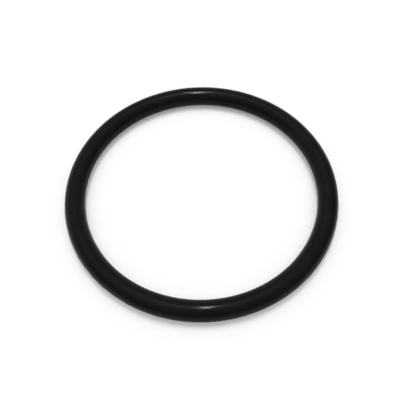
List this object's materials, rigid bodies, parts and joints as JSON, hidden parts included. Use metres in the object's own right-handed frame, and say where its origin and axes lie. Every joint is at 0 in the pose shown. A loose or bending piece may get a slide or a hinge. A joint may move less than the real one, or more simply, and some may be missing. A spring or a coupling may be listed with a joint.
{
  "type": "rubber o-ring",
  "caption": "Plain black rubber sealing ring with a round section, lying flat, that seals the gap between a shaft and its housing.",
  "frame": {"origin": "centre of the ring, on its mid-plane", "axes": "+Z along the ring's axis, up as it lies flat; +X and +Y in the plane of the ring"},
  "size_m": [0.048, 0.048, 0.0036],
  "materials": {
    "black_rubber": "satin"
  },
  "bodies": {
    "root": {"o_ring": "black_rubber"}
  },
  "joints": []
}
